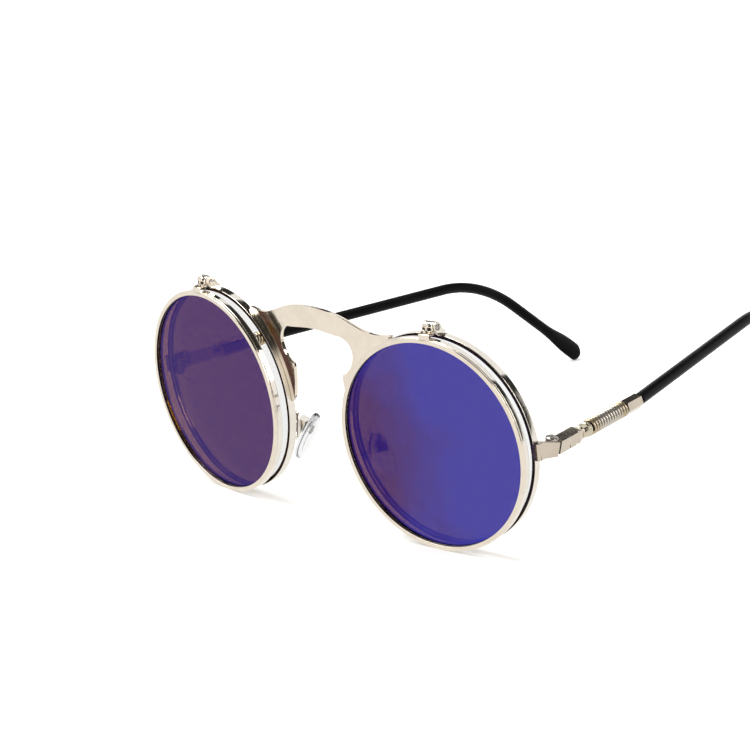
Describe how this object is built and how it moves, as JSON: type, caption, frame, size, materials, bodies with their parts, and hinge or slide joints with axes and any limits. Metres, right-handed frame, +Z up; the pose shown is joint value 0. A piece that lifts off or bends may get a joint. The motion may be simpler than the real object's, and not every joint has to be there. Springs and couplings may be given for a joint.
{
  "type": "flip up sunglasses",
  "caption": "Round metal sunglasses with mirrored lenses that flip up in front of clear lenses, a flat bridge plate, sprung-look folding temples and clear nose pads.",
  "frame": {"origin": "on the table, midway between the points where the two flip rims stand", "axes": "+X towards the wearer's left, +Y back to the wearer's ears, +Z up from the table"},
  "size_m": [0.1313, 0.1724, 0.0511],
  "materials": {
    "bridge_metal": "polished nickel plate with a warm tint",
    "rim_metal": "bright polished nickel plate",
    "dark_metal": "small steel screws and blocks",
    "gold_metal": "polished, gold tinted",
    "spring_metal": "polished spring wire",
    "mirror_lens": "blue violet mirror coat over a brown tint",
    "clear_lens": "clear, polished",
    "pad_silicone": "clear, soft gloss",
    "black_sleeve": "glossy black"
  },
  "bodies": {
    "front_frame": {"bridge_plate": "bridge_metal", "frame_rim_left": "rim_metal", "clear_lens_left": "clear_lens", "endpiece_left": "rim_metal", "rim_lock_left": "dark_metal", "rim_lock_screw_left": "dark_metal", "flip_bracket_left": "rim_metal", "flip_hinge_screw_left": "dark_metal", "temple_hinge_screw_left": "rim_metal", "pad_arm_left": "rim_metal", "pad_box_left": "rim_metal", "pad_screw_left": "dark_metal", "frame_rim_right": "rim_metal", "clear_lens_right": "clear_lens", "endpiece_right": "rim_metal", "rim_lock_right": "dark_metal", "rim_lock_screw_right": "dark_metal", "flip_bracket_right": "rim_metal", "flip_hinge_screw_right": "dark_metal", "temple_hinge_screw_right": "rim_metal", "pad_arm_right": "rim_metal", "pad_box_right": "rim_metal", "pad_screw_right": "dark_metal"},
    "flip_left": {"flip_plate_left": "bridge_metal", "flip_rim_left": "rim_metal", "flip_lens_left": "mirror_lens"},
    "flip_right": {"flip_plate_right": "bridge_metal", "flip_rim_right": "rim_metal", "flip_lens_right": "mirror_lens"},
    "temple_left": {"temple_block_left": "bridge_metal", "temple_core_left": "gold_metal", "temple_spring_left": "spring_metal", "temple_ferrule_left": "rim_metal", "temple_sleeve_left": "black_sleeve"},
    "temple_right": {"temple_block_right": "bridge_metal", "temple_core_right": "gold_metal", "temple_spring_right": "spring_metal", "temple_ferrule_right": "rim_metal", "temple_sleeve_right": "black_sleeve"},
    "pad_left": {"nose_pad_left": "pad_silicone"},
    "pad_right": {"nose_pad_right": "pad_silicone"}
  },
  "joints": [
    {"name": "flip_left_lift", "type": "hinge", "parent": "front_frame", "child": "flip_left", "pos_m": [0.03541, -0.00463, 0.04994], "axis": [-0.9923, -0.1221, -0.0193], "range_deg": [0, 95]},
    {"name": "flip_right_lift", "type": "hinge", "parent": "front_frame", "child": "flip_right", "pos_m": [-0.03541, -0.00463, 0.04994], "axis": [-0.9923, 0.1221, 0.0193], "range_deg": [0, 95]},
    {"name": "temple_left_fold", "type": "hinge", "parent": "front_frame", "child": "temple_left", "pos_m": [0.05787, 0.00807, 0.02578], "axis": [0.1959, -0.0352, 0.98], "range_deg": [-20.9, 64]},
    {"name": "temple_right_fold", "type": "hinge", "parent": "front_frame", "child": "temple_right", "pos_m": [-0.05787, 0.00807, 0.02578], "axis": [0.1959, 0.0352, -0.98], "range_deg": [0, 31]},
    {"name": "pad_left_rock", "type": "hinge", "parent": "front_frame", "child": "pad_left", "pos_m": [0.01268, 0.00347, 0.01882], "axis": [0.342, 0.9282, 0.1467], "range_deg": [-4, 6]},
    {"name": "pad_right_rock", "type": "hinge", "parent": "front_frame", "child": "pad_right", "pos_m": [-0.01268, 0.00347, 0.01882], "axis": [0.342, -0.9282, -0.1467], "range_deg": [-4, 6]}
  ]
}
